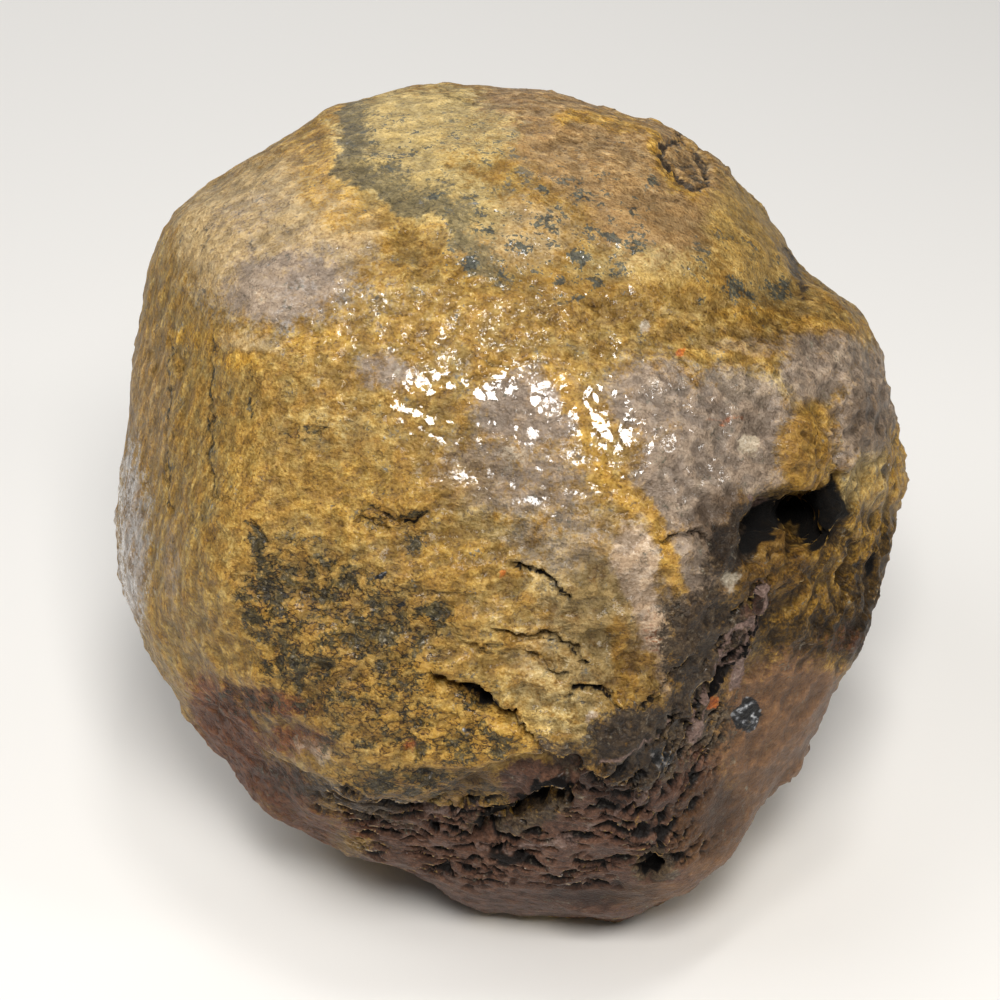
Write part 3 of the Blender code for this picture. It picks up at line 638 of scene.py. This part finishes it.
def relief(points, outward, spots):
    """How far each point of the skin stands out, in millimetres."""
    seen = facing(outward)
    ragged = wandering(points, spots)
    rough = np.maximum(seen * patch_cover(spots, PATCHES["rough"]), (1.0 - seen) * FAR_ROUGH)
    lace = seen * patch_cover(ragged, PATCHES["lace"])
    net = seen * patch_cover(ragged, PATCHES["net"])
    rough = np.clip(rough + LEAST_ROUGH - np.maximum(lace, net), 0.0, 1.0)
    striped = seen * patch_cover(spots, PATCHES["striped"])
    flaky = np.maximum(seen * patch_cover(spots, PATCHES["flaky"]), FAR_ROUGH * (1.0 - seen))
    lumpy = seen * patch_cover(spots, PATCHES["lumpy"])
    lumpy += FAR_LUMPY * (1.0 - seen) * soft_step(ripple(points, FAR_LUMPS_WIDTH, 2, 61.0), 0.1, 0.5)

    size, high = SWELLS
    height = high * ripple(points, size, 2, 2.0)
    size, low, more = CRUMBS
    height += (low + more * rough) * ripple(points, size, 2, 11.0)
    size, low, more = BROKEN_FACES
    height += (low + more * rough) * facets(points * (0.8, 1.0, 1.0), size, 21.0)
    # Flakes: noise cut into flat steps, longer across than down
    size, low, more = FLAKES
    layered = ripple(points * (0.55, 1.0, 1.0), size, 3, 5.0) * 4.0
    part_way = layered - np.floor(layered)
    flaky *= 1.0 - np.maximum(lace, net)
    height += (low + more * flaky) * (np.floor(layered) + soft_step(part_way, 0.38, 0.62)) * (1.0 - striped)
    # Knobbly crust on the right flank
    steep_axes = np.stack((ACROSS * 0.5 + UP * 0.87, UP * 0.5 - ACROSS * 0.87, TOWARD))
    tilted = points @ steep_axes.T * (0.6, 1.0, 0.8)
    size, high = LUMPS
    height += lumpy * high * (0.3 - np.abs(ripple(tilted, size, 2, 71.0)))
    size, high = LUMP_FACES
    height += lumpy * high * facets(tilted, size, 33.0)
    # Stripes that run down the left side
    size, high = STRIPES
    height += high * striped * ripple(points * (1.0, 1.0, 0.14), size, 2, 3.0)
    # The web: long holes between thin ridges
    holes = np.zeros(len(points))
    for cover, layers in ((lace, LACE_LAYERS), (net, NET_LAYERS)):
        holes = np.maximum(holes, np.minimum(*(web_holes(points, cover, *layer) for layer in layers)))
    height -= WEB_DEPTH * holes
    # Cracks and pits
    for depth, half_width, lip, line in CRACKS.values():
        beside = beside_line(ragged, line) * PIXEL
        below = np.where(beside > 0.0, np.exp(-((beside / half_width - CRACK_MIDDLE) ** 2)), 0.0)
        edge = soft_step(beside, *CRACK_EDGE)
        above = np.exp(-np.abs(beside) / LIP_SPREAD)
        height += seen * ((1.0 - edge) * lip * above - edge * depth * below)
    for top, half_width, line in RIDGES:
        height += seen * top * np.exp(-((beside_line(ragged, line) * PIXEL / half_width) ** 2))
    for place, radius, depth in PITS:
        away = np.hypot(*(ragged - place).T) / radius
        height -= seen * depth * (1.0 - soft_step(away, *PIT_SIDE))
    return height, holes


def make_zones(mesh, points, outward, spots, holes):
    """Stores on the skin, at each vertex, how far inside each zone of colour or finish it is."""
    seen = facing(outward)
    ragged = wandering(points, spots)
    zones = {}
    for name, (size, share, shift) in FAR_PATCHES.items():
        patched = patch_cover(ragged, PATCHES.get(name, []))
        near = np.maximum(patched, streak_cover(ragged, STREAKS.get(name, [])))
        zones[name] = seen * near + (1.0 - seen) * far_patches(points, size, share, shift)
    cap = np.clip(0.5 + inside_ring(ragged, OLIVE_CAP) / CAP_BORDER, 0.0, 1.0)
    border = np.abs(beside_line(ragged - (BAND_SHIFT, 0.0), OLIVE_EDGE))
    zones["slate"] = seen * BAND_STRENGTH * (1.0 - soft_step(border, *BAND_FADE)) * soft_step(cap, 0.45, 0.55)
    zones["cap"] = seen * cap

    edges = mesh_edges(mesh)
    hollow = 0.5
    for rounds, full_depth in HOLLOWS:
        hollow = hollow + ((smoothed(points, edges, rounds) - points) * outward).sum(axis=1) / full_depth
    zones["hollow"] = np.clip(hollow, 0.0, 1.0)
    zones["hole"] = holes
    zones["dim_shade"] *= 1.0 - 0.4 * zones["pale"]
    for name, value in zones.items():
        mesh.attributes.new(name, "FLOAT", "POINT").data.foreach_set("value", value.astype(np.float32))


def paint(red, green, blue):
    """A colour given from 0 to 255 as a screen shows it, as the shader takes it."""
    channels = [c / 255.0 for c in (red, green, blue)]
    return tuple(c / 12.92 if c <= 0.04045 else ((c + 0.055) / 1.055) ** 2.4 for c in channels) + (1.0,)


# The tones of each zone, from its dark grains to its pale ones, as a screen shows them from 0 to 255
TONES = {
    "ochre": ((66, 45, 17), (125, 93, 37), (149, 117, 56), (189, 157, 95)),
    "sand": ((76, 56, 27), (129, 103, 51), (153, 128, 72), (191, 167, 110)),
    "tan": ((104, 84, 56), (154, 131, 92), (176, 154, 116), (206, 188, 150)),
    "brown": ((86, 62, 34), (134, 105, 66), (155, 127, 86), (184, 158, 116)),
    "mauve": ((81, 69, 60), (121, 107, 95), (138, 124, 112), (170, 157, 146)),
    # The underside's tones hold painted shade and a painted reflection
    "underside_shade_reflection": ((37, 24, 17), (70, 46, 34), (87, 61, 47), (117, 89, 74)),
    # The crust's own dark brown, darkened further as painted shade on the flank
    "crust": ((10, 7, 3), (50, 35, 7), (78, 56, 15), (126, 96, 37)),
    "thread": ((60, 47, 42), (104, 84, 76), (126, 104, 94), (160, 140, 130)),
    "quartz": ((120, 108, 88), (158, 146, 124), (182, 172, 152), (222, 214, 200)),
    # The lower right face's tones hold painted shade and a painted reflection
    "lower_face_shade_reflection": ((70, 45, 28), (96, 68, 44), (109, 79, 52), (132, 100, 70)),
    "ink": ((30, 32, 30), (54, 57, 52), (80, 82, 72), (124, 122, 104)),
    "crystal": ((8, 8, 10), (28, 29, 32), (62, 64, 68), (160, 162, 166)),
    "amber": ((84, 58, 19), (147, 109, 36), (175, 138, 58), (210, 177, 102)),
    "olive": ((92, 80, 50), (161, 139, 87), (187, 165, 111), (216, 198, 150)),
    "grime_and_shade": ((20, 15, 10), (56, 44, 32), (80, 66, 48), (122, 106, 84)),
    "wine": ((36, 17, 10), (96, 54, 30), (123, 77, 46), (152, 106, 70)),
    "pale": ((118, 98, 78), (156, 134, 110), (180, 160, 138), (214, 198, 180)),
    "rust": ((92, 40, 12), (150, 74, 24), (180, 100, 34), (204, 132, 66)),
    "soot": ((18, 15, 7), (46, 40, 21), (68, 59, 34), (104, 91, 56)),
    "slate": ((34, 32, 25), (80, 73, 52), (110, 99, 70), (156, 141, 100)),
}

# The grain values that show a zone's own tones, which blend between them
TONE_PLACES = (0.2, 0.42, 0.6, 0.85)

# The zones laid over the ochre before all others, the lowest first
LAYERS = ("tan", "brown", "olive", "mauve", "crust", "amber", "underside_shade_reflection", "lower_face_shade_reflection", "wine", "pale", "slate")

# The borders of the zones: how soft and how ragged they are, and the most that the zone covers
BORDERS = {
    "tan": (0.30, 1.4, 0.9), "brown": (0.30, 1.4, 1.0), "olive": (0.25, 1.8, 0.9), "mauve": (0.30, 1.8, 0.9),
    "crust": (0.25, 1.8, 1.0), "amber": (0.30, 2.2, 0.85), "underside_shade_reflection": (0.15, 1.4, 1.0), "lower_face_shade_reflection": (0.25, 1.4, 1.0),
    "wine": (0.28, 2.4, 1.0), "pale": (0.25, 1.6, 1.0), "slate": (0.28, 2.6, 0.85), "ink": (0.15, 3.6, 0.92),
    "grime_and_shade": (0.18, 2.0, 1.0), "rust": (0.2, 1.4, 0.8), "crystal": (0.1, 1.0, 1.0), "thread": (0.2, 0.6, 1.0),
    "quartz": (0.35, 2.6, 0.66),
}

# The widths of the rind's grains and chips, and of the waves on the film of water
GRAINS = {
    "fine": 0.20, "other": 0.26, "striped": 0.40, "cap": 0.45, "crumple": 0.50, "chip": 0.55, "wave": 0.7,
    "wide": 1.3,
}

# Painted shade and soot stains darken the tone under them: the share of red, green and blue let through
DIM_SHADE_TINT = paint(166, 158, 150)
SOOT_STAIN = paint(128, 118, 98)

# Plain colours: painted shade in the hollows and at the bottoms of the web's holes, deep painted shade, and
# the cap's specks
HOLLOW_SHADE = paint(24, 16, 8)
HOLE_SHADE = paint(10, 7, 6)
SHADE = paint(2, 1, 1)
SPECKS = (paint(32, 35, 32), paint(92, 92, 80))

# Painted light on the crests: how many times brighter a crest is than the tone round it, in red, green and
# blue
CREST_LIGHT = (1.35, 1.33, 1.28, 1.0)


def view_turn(tilt):
    """The turn that brings a line across the picture, tilted by some degrees, onto the x axis."""
    return tuple(Matrix(view_axes(tilt)).to_euler())


class Shader:
    """Adds nodes to one material and joins them."""

    def __init__(self, name):
        self.material = bpy.data.materials.new(name)
        self.material.use_nodes = True
        self.nodes = self.material.node_tree.nodes
        self.surface = self.nodes["Principled BSDF"]

    def join(self, socket, value):
        """Gives a socket a number, a colour or another node's output."""
        if isinstance(value, bpy.types.NodeSocket):
            self.material.node_tree.links.new(value, socket)
        else:
            socket.default_value = value

    def give(self, name, value):
        """Gives an input of the surface a number, a colour or another node's output."""
        self.join(self.surface.inputs[name], value)

    def add(self, kind, output=0, settings=(), **inputs):
        """A node of a kind, with its settings and its inputs, and returns one of its outputs."""
        node = self.nodes.new("ShaderNode" + kind)
        for name, value in dict(settings).items():
            setattr(node, name, value)
        for name, value in inputs.items():
            key = int(name[1:]) if name[0] == "_" else name.replace("_", " ")
            self.join(node.inputs[key], value)
        return node.outputs[output]

    def math(self, operation, a, b=0.0, c=0.0):
        """Sums on one, two or three values."""
        return self.add("Math", settings={"operation": operation}, _0=a, _1=b, _2=c)

    def largest(self, value, *others):
        """The largest of some values."""
        for other in others:
            value = self.math("MAXIMUM", value, other)
        return value

    def grain(self, name, detail, where=None, rough=0.5):
        """Noise from 0 to 1 with one of the rind's kinds of grain."""
        inputs = {"Scale": 1.0 / (GRAINS[name] * MM), "Detail": detail, "Roughness": rough}
        return self.add("TexNoise", Vector=where or self.place, **inputs)

    def band(self, value, low, high, start=0.0, end=1.0):
        """Start below low and end above high, changing smoothly between them."""
        return self.add("MapRange", settings={"interpolation_type": "SMOOTHSTEP"}, Value=value, From_Min=low,
                        From_Max=high, To_Min=start, To_Max=end)

    def zone(self, name):
        """How far inside a zone each place is, as the skin stores it."""
        return self.add("Attribute", output="Fac", settings={"attribute_name": name})

    def mix(self, share, a, b, blend="MIX"):
        """The first colour where the share is 0, and where it is 1 the second, or the two multiplied."""
        settings = {"data_type": "RGBA", "blend_type": blend}
        return self.add("Mix", output=2, settings=settings, _0=share, _6=a, _7=b)

    def tones(self, name, value):
        """The colour of a zone for a grain value."""
        node = self.nodes.new("ShaderNodeValToRGB")
        stops = node.color_ramp.elements
        for place, colour in zip(TONE_PLACES, TONES[name]):
            stop = stops.new(place)
            stop.color = paint(*colour)
        stops.remove(stops[0])
        stops.remove(stops[-1])
        self.join(node.inputs[0], value)
        return node.outputs[0]

    def chips(self):
        """Small tilted facets: the height of each place on them, in metres, and a number from 0 to 1 that is
        the same all over one facet."""
        scale = 1.0 / (GRAINS["chip"] * MM)
        middle = self.add("TexVoronoi", output="Position", Vector=self.place, Scale=scale)
        own = middle.node.outputs["Color"]
        away = self.add("VectorMath", settings={"operation": "SUBTRACT"}, _0=self.place, _1=middle)
        lean = self.add("VectorMath", settings={"operation": "SUBTRACT"}, _0=own, _1=(0.5, 0.5, 0.5))
        product = {"operation": "DOT_PRODUCT"}
        height = self.add("VectorMath", output="Value", settings=product, _0=away, _1=lean)
        return height, self.add("SeparateXYZ", Vector=own)

    def stretched(self, turn, stretch):
        """Object places turned about and stretched along one way, for streaky grain."""
        turned = self.add("Mapping", Vector=self.place, Rotation=turn)
        return self.add("VectorMath", settings={"operation": "MULTIPLY"}, _0=turned, _1=stretch)


def rind_material(finish):
    """The wet rind: grains of several sizes, zone tones, painted shade in hollows, and a film of water."""
    s = Shader("rind")
    s.place = s.add("TexCoord", output="Object")
    elsewhere = s.add("VectorMath", settings={"operation": "ADD"}, _0=s.place, _1=(0.7, 0.4, 0.9))
    # Grains of several sizes, some of them stretched along the stone's stripes or across its cap
    fine = s.grain("fine", 2.0)
    crumple = s.grain("crumple", 3.0, where=s.stretched(view_turn(-8.0), (0.6, 1.0, 0.8)))
    other = s.grain("other", 2.0, where=elsewhere, rough=0.6)
    wide = s.grain("wide", 3.0, where=elsewhere, rough=0.6)
    streaks_down = s.stretched(view_turn(-30.0), (0.45, 1.0, 0.6))
    on_cap = s.band(s.zone("cap"), 0.4, 0.8)
    stripes = s.band(s.zone("striped"), 0.3, 0.7)
    tan = s.zone("tan")
    chip_height, chip_tone = s.chips()
    down = s.stretched((0.0, 0.0, 0.0), (1.0, 1.0, 0.16))
    medium = s.mix(stripes, crumple, s.grain("striped", 3.0, where=down))
    medium = s.mix(on_cap, medium, s.grain("cap", 3.0, where=streaks_down))
    # One grain value that picks the tone, with less contrast where the rind is even
    mixed = s.math("MULTIPLY_ADD", medium, 0.42, s.math("MULTIPLY", wide, 0.10))
    mixed = s.math("MULTIPLY_ADD", fine, 0.40, mixed)
    mixed = s.math("MULTIPLY_ADD", chip_tone, 0.08, mixed)
    wrinkles = s.band(s.math("ABSOLUTE", s.math("SUBTRACT", medium, 0.47)), 0.0, 0.05, 1.0, 0.0)
    even = s.largest(on_cap, tan, s.zone("mauve"))
    contrast = s.math("MULTIPLY", finish.contrast, s.band(even, 0.2, 0.8, 1.0, 0.75))
    grains = s.math("SUBTRACT", s.math("MULTIPLY_ADD", s.math("SUBTRACT", mixed, 0.49), contrast, 0.5),
                    s.math("MULTIPLY", wrinkles, s.band(s.zone("soot"), 0.2, 0.8, 0.12, 0.36)))

    ragged = s.math("SUBTRACT", s.math("MULTIPLY_ADD", other, 0.5, s.math("MULTIPLY", wide, 0.5)), 0.5)

    def share(name):
        """How much of a zone's colour shows, with a ragged border."""
        softness, raggedness, most = BORDERS[name]
        value = s.math("MULTIPLY_ADD", ragged, raggedness, s.zone(name))
        return s.band(value, 0.5 - softness, 0.5 + softness, 0.0, most)

    def laid(name, picked=grains):
        """The colour so far with a zone's own tones, picked by a grain value, laid over it."""
        return s.mix(share(name), colour, s.tones(name, picked))

    # The colour: ochre and sand, the zones over them, then specks, soot, and painted shade, crest light and
    # deep shade
    colour = s.mix(s.band(wide, 0.35, 0.65), s.tones("ochre", grains), s.tones("sand", grains))
    for name in LAYERS:
        colour = laid(name)
    specks = s.math("MULTIPLY_ADD", other, 0.5, s.math("MULTIPLY", medium, 0.5))
    specks = s.band(s.math("MULTIPLY_ADD", wide, 0.55, specks), 0.85, 0.89)
    specks = s.math("MULTIPLY", specks, s.band(s.zone("speckled"), 0.2, 0.8, 0.0, 0.9))
    colour = s.mix(specks, colour, s.mix(other, *SPECKS))
    colour = laid("ink")
    # Grime and painted shade
    colour = laid("grime_and_shade")
    clusters = s.math("SUBTRACT", s.math("MULTIPLY_ADD", other, 0.35, s.math("MULTIPLY", wide, 0.65)), 0.5)
    sooty = s.math("MULTIPLY_ADD", clusters, 3.0, s.math("MULTIPLY_ADD", wrinkles, 0.16, s.zone("soot")))
    colour = s.mix(s.band(sooty, 0.15, 0.8, 0.0, 0.6), colour, s.mix(1.0, colour, SOOT_STAIN, "MULTIPLY"))
    colour = s.mix(s.band(sooty, 0.50, 0.80, 0.0, 0.95), colour, s.tones("soot", grains))
    colour = laid("rust")
    # Painted glints on the crystals
    painted_glints = s.math("MULTIPLY_ADD", s.math("SUBTRACT", medium, 0.5), 3.0, 0.4)
    colour = laid("crystal", painted_glints)
    # Painted shade that darkens the tone under it
    colour = s.mix(s.band(s.zone("dim_shade"), 0.1, 0.9), colour, s.mix(1.0, colour, DIM_SHADE_TINT, "MULTIPLY"))
    # Painted shade in the hollows, deeper where the crust is
    hollow = s.zone("hollow")
    hollow_shade_strength = s.band(s.zone("crust"), 0.2, 0.6, 0.26, 0.6)
    colour = s.mix(s.band(hollow, 0.55, 1.0, 0.0, hollow_shade_strength), colour, HOLLOW_SHADE)
    # Painted light on the crests, where the skin is least hollow
    painted_crest_light = s.mix(1.0, colour, CREST_LIGHT, "MULTIPLY")
    colour = s.mix(s.band(hollow, 0.1, 0.45, 1.0, 0.0), colour, painted_crest_light)
    # Painted shade at the bottoms of the web's holes
    holes = s.band(s.math("MULTIPLY_ADD", ragged, 0.5, s.zone("hole")), 0.15, 0.5)
    colour = s.mix(s.math("MULTIPLY", holes, 0.95), colour, HOLE_SHADE)
    colour = laid("thread")
    colour = laid("quartz")
    # Deep painted shade over the hollow, the notch and the cracks
    colour = s.mix(s.band(s.zone("deep_shade"), 0.35, 0.65, 0.0, 0.98), colour, SHADE)

    # The relief of the grains, and the water that lies over it
    film = s.zone("film")
    bump = s.math("MULTIPLY_ADD", fine, 1.2, s.math("MULTIPLY", crumple, 1.6))
    smooth = s.largest(on_cap, tan, s.zone("lower_face_shade_reflection"), s.zone("underside_shade_reflection"))
    steepness = finish.chips / (finish.grain_height * MM)
    chipped = s.band(smooth, 0.2, 0.8, steepness, steepness * 0.4)
    bump = s.math("MULTIPLY_ADD", chip_height, chipped, bump)
    roughness = s.math("MULTIPLY_ADD", fine, 0.25, finish.roughness)
    roughness = s.math("MULTIPLY_ADD", film, -0.16, roughness)
    s.give("Base Color", colour)
    s.give("Roughness", s.math("MULTIPLY_ADD", s.zone("deep_shade"), 0.6, roughness))
    s.give("Specular IOR Level", 0.25)
    s.give("Normal", s.add("Bump", Strength=1.0, Distance=finish.grain_height * MM, Height=bump))
    wet = s.band(s.math("MULTIPLY_ADD", ragged, 2.0, film), 0.38, 0.50, finish.damp, 1.0)
    half_underside_shade = s.math("MULTIPLY", s.zone("underside_shade_reflection"), 0.5)
    dry = s.largest(s.zone("deep_shade"), holes, half_underside_shade, s.zone("wine"), s.zone("crust"))
    s.give("Coat Weight", s.math("MULTIPLY", wet, s.band(dry, 0.2, 0.8, 1.0, 0.0)))
    s.give("Coat Roughness", finish.film_roughness)
    ripples = s.math("MULTIPLY", fine, s.band(film, 0.5, 0.9, 0.12, 0.06))
    waves = s.math("ADD", ripples, s.grain("wave", 0.5))
    swell = s.math("MULTIPLY", waves, s.band(film, 0.4, 0.75, 1.7, 1.1))
    s.give("Coat Normal", s.add("Bump", Strength=1.0, Distance=finish.film_swell * MM, Height=swell))
    return s.material


class RindShape(bpy.types.PropertyGroup):
    """Sizes of the stone's skin."""

    cell: FloatProperty(name="Cell", description="Width of the mesh's cells", default=0.45 * MM,
                        unit="LENGTH")
    relief: FloatProperty(name="Relief", description="How strongly the skin's relief shows", default=1.0,
                          subtype="FACTOR", min=0.0, max=2.0)


class RindFinish(bpy.types.PropertyGroup):
    """Numbers of the stone's finish."""

    contrast: FloatProperty(name="Grain contrast", description="How far apart the grains' tones are",
                            default=1.45)
    roughness: FloatProperty(name="Roughness", description="Roughness of the rind under the water",
                             default=0.42, subtype="FACTOR")
    grain_height: FloatProperty(name="Grain height", description="Height of the grains, in millimetres",
                                default=0.13)
    chips: FloatProperty(name="Chips", description="How steeply the small facets lean", default=0.7)
    damp: FloatProperty(name="Damp", description="Water film away from the wettest places", default=0.10,
                        subtype="FACTOR")
    film_roughness: FloatProperty(name="Film roughness", description="Roughness of the water film",
                                  default=0.03, subtype="FACTOR")
    film_swell: FloatProperty(name="Film swell", default=0.11,
                              description="Height of the water film's waves, in millimetres")


class StageLook(bpy.types.PropertyGroup):
    """Light and floor."""

    floor: FloatVectorProperty(name="Floor", description="Colour of the floor", default=(0.80, 0.79, 0.77),
                               subtype="COLOR", size=3, min=0.0, max=1.0)
    key: FloatProperty(name="Key light", description="Power of the small bright light", default=1.0,
                       unit="POWER")
    fill: FloatProperty(name="Fill light", description="Power of the wide soft light", default=0.42,
                        unit="POWER")
    sky: FloatProperty(name="Sky", description="Strength of the light from all round", default=0.10)


class NODULE_OT_stone(bpy.types.Operator):
    """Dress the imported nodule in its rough, wet rind"""

    bl_idname = "nodule.stone"
    bl_label = "Stone"

    def execute(self, context):
        shape = context.scene.rind_shape
        stone = solid_skin("stone", shape.cell / MM)
        refine_breaks(stone)
        points, outward = mesh_points(stone.data)
        spots = on_picture(points)
        worn = (facing(outward) * patch_cover(spots, PATCHES["worn"]))[:, None]
        smooth = smoothed(points, mesh_edges(stone.data), WORN_ROUNDS)
        points += worn * (smooth - points)
        height, holes = relief(points, outward, spots)
        points += outward * (height * shape.relief)[:, None]
        points[:, 2] = np.maximum(points[:, 2], 0.0)
        stone.data.vertices.foreach_set("co", (points * MM).ravel())
        stone.data.update()
        points, outward = mesh_points(stone.data)
        make_zones(stone.data, points, outward, spots, holes)
        stone.data.materials.clear()
        stone.data.materials.append(rind_material(context.scene.rind_finish))
        bpy.ops.object.shade_smooth()
        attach(stone, "root")
        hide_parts("nodule")
        return {"FINISHED"}


class NODULE_OT_stage(bpy.types.Operator):
    """Set the floor, the lights and the camera"""

    bl_idname = "nodule.stage"
    bl_label = "Stage"

    def execute(self, context):
        look = context.scene.stage_look
        bpy.ops.object.select_all(action="DESELECT")
        bpy.ops.mesh.primitive_plane_add(size=FLOOR_WIDTH * MM, location=(0.0, 0.0, 0.0))
        floor = context.active_object
        floor.name = "floor"
        paper = Shader("floor")
        paper.give("Base Color", (*look.floor, 1.0))
        paper.give("Roughness", FLOOR_ROUGHNESS)
        floor.data.materials.append(paper.material)

        middle = Vector(MIDDLE) * MM
        for name, (place, width, power, share, tint) in LIGHTS.items():
            bpy.ops.object.light_add(type="AREA", location=middle + Vector(place) * MM)
            light = context.active_object
            light.name = name
            light.data.size = width * MM
            light.data.energy = getattr(look, power) * share
            light.data.color = tint
            light.rotation_euler = (middle - light.location).to_track_quat("-Z", "Y").to_euler()
        world = bpy.data.worlds.new("studio")
        world.use_nodes = True
        world.node_tree.nodes["Background"].inputs["Color"].default_value = (1.0, 1.0, 1.0, 1.0)
        world.node_tree.nodes["Background"].inputs["Strength"].default_value = look.sky
        context.scene.world = world
        context.scene.view_settings.view_transform = "Standard"

        bpy.ops.object.camera_add(location=Vector(AIM + TOWARD * VIEW_DISTANCE) * MM)
        camera = context.active_object
        camera.name = "camera"
        camera.rotation_euler = Vector(-TOWARD).to_track_quat("-Z", "Y").to_euler()
        camera.data.sensor_width = SENSOR
        camera.data.lens = SENSOR * VIEW_DISTANCE / (PICTURE * PIXEL)
        camera.data.clip_start = NEAREST * MM
        context.scene.camera = camera
        return {"FINISHED"}


# The operators in the panel, and the groups of numbers above each
PANEL_ROWS = {"nodule.stone": ("rind_shape", "rind_finish"), "nodule.stage": ("stage_look",)}


class NODULE_PT_panel(bpy.types.Panel):
    """The nodule's operators and their numbers"""

    bl_idname = "NODULE_PT_panel"
    bl_label = "Agate nodule"
    bl_space_type = "VIEW_3D"
    bl_region_type = "UI"
    bl_category = "Nodule"

    def draw(self, context):
        for operator, groups in PANEL_ROWS.items():
            for numbers in (getattr(context.scene, group) for group in groups):
                for name in numbers.__annotations__:
                    self.layout.prop(numbers, name)
            self.layout.operator(operator)


GROUPS = {"rind_shape": RindShape, "rind_finish": RindFinish, "stage_look": StageLook}
CLASSES = (*GROUPS.values(), NODULE_OT_stone, NODULE_OT_stage, NODULE_PT_panel)


def register():
    for cls in CLASSES:
        bpy.utils.register_class(cls)
    for name, group in GROUPS.items():
        setattr(bpy.types.Scene, name, PointerProperty(type=group))


def unregister():
    for name in GROUPS:
        delattr(bpy.types.Scene, name)
    for cls in reversed(CLASSES):
        bpy.utils.unregister_class(cls)


def main():
    """Makes the stone and the stage."""
    register()
    bpy.ops.nodule.stone()
    bpy.ops.nodule.stage()


if __name__ == "__main__":
    main()
